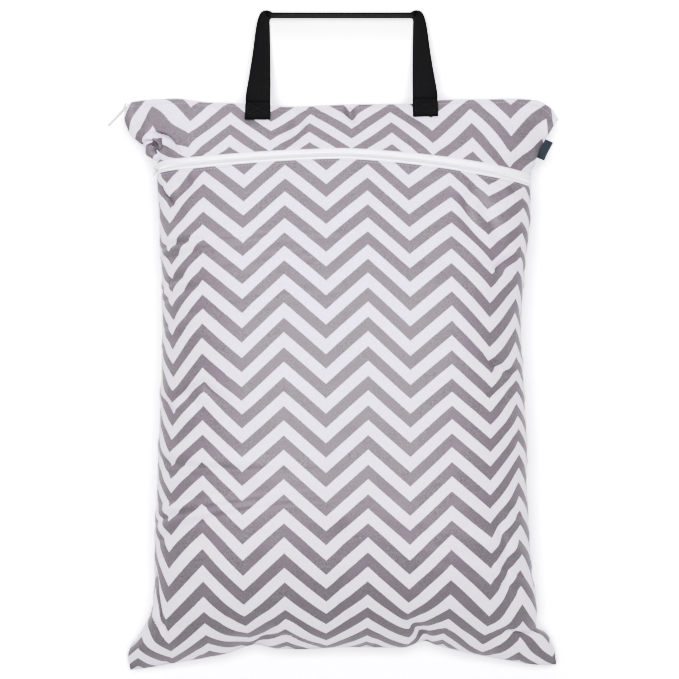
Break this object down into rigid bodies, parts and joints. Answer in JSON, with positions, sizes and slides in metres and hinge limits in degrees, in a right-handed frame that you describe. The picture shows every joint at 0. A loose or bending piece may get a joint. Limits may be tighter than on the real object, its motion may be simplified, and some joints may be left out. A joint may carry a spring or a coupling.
{
  "type": "cloth wet bag",
  "caption": "Large stuffed cloth wet bag lying on its back, chevron print, zip across the front, zip along the top edge, webbing handle loop.",
  "frame": {"origin": "on the flat of the back wall, on the surface that the bag lies on, under the middle of the bag", "axes": "+Y runs up the bag to its handle, +X to its right as the front is looked at, +Z out of the front"},
  "size_m": [0.4539, 0.667, 0.1481],
  "materials": {
    "print_fabric": "waterproof woven polyester, grey and white chevron print, soft sheen",
    "zip_tape": "white woven tape",
    "zip_coil": "white nylon coil",
    "zip_metal": "pale grey enamel, satin",
    "webbing": "black ribbed webbing, matt",
    "label_cloth": "dark teal woven label, bare"
  },
  "bodies": {
    "bag": {"back_panel": "print_fabric", "front_pocket_panel": "print_fabric", "front_upper_panel": "print_fabric", "pocket_zip_lower_tape": "zip_tape", "pocket_zip_upper_tape": "zip_tape", "pocket_zip_coil": "zip_coil", "top_zip_front_tape": "zip_tape", "top_zip_back_tape": "zip_tape", "top_zip_coil": "zip_coil", "top_zip_slider": "zip_metal", "pocket_zip_slider": "zip_metal", "handle_strap": "webbing", "label": "label_cloth"},
    "top_pull": {"top_zip_pull": "zip_metal"},
    "pocket_pull": {"pocket_zip_pull": "zip_metal"}
  },
  "joints": [
    {"name": "top_pull_hinge", "type": "hinge", "parent": "bag", "child": "top_pull", "pos_m": [-0.21702, 0.23635, 0.04723], "axis": [0.039, 0.0627, -0.9973], "range_deg": [-15, 165]},
    {"name": "pocket_pull_hinge", "type": "hinge", "parent": "bag", "child": "pocket_pull", "pos_m": [-0.18442, 0.17248, 0.06927], "axis": [0.1948, 0.975, -0.1065], "range_deg": [0, 180]}
  ]
}
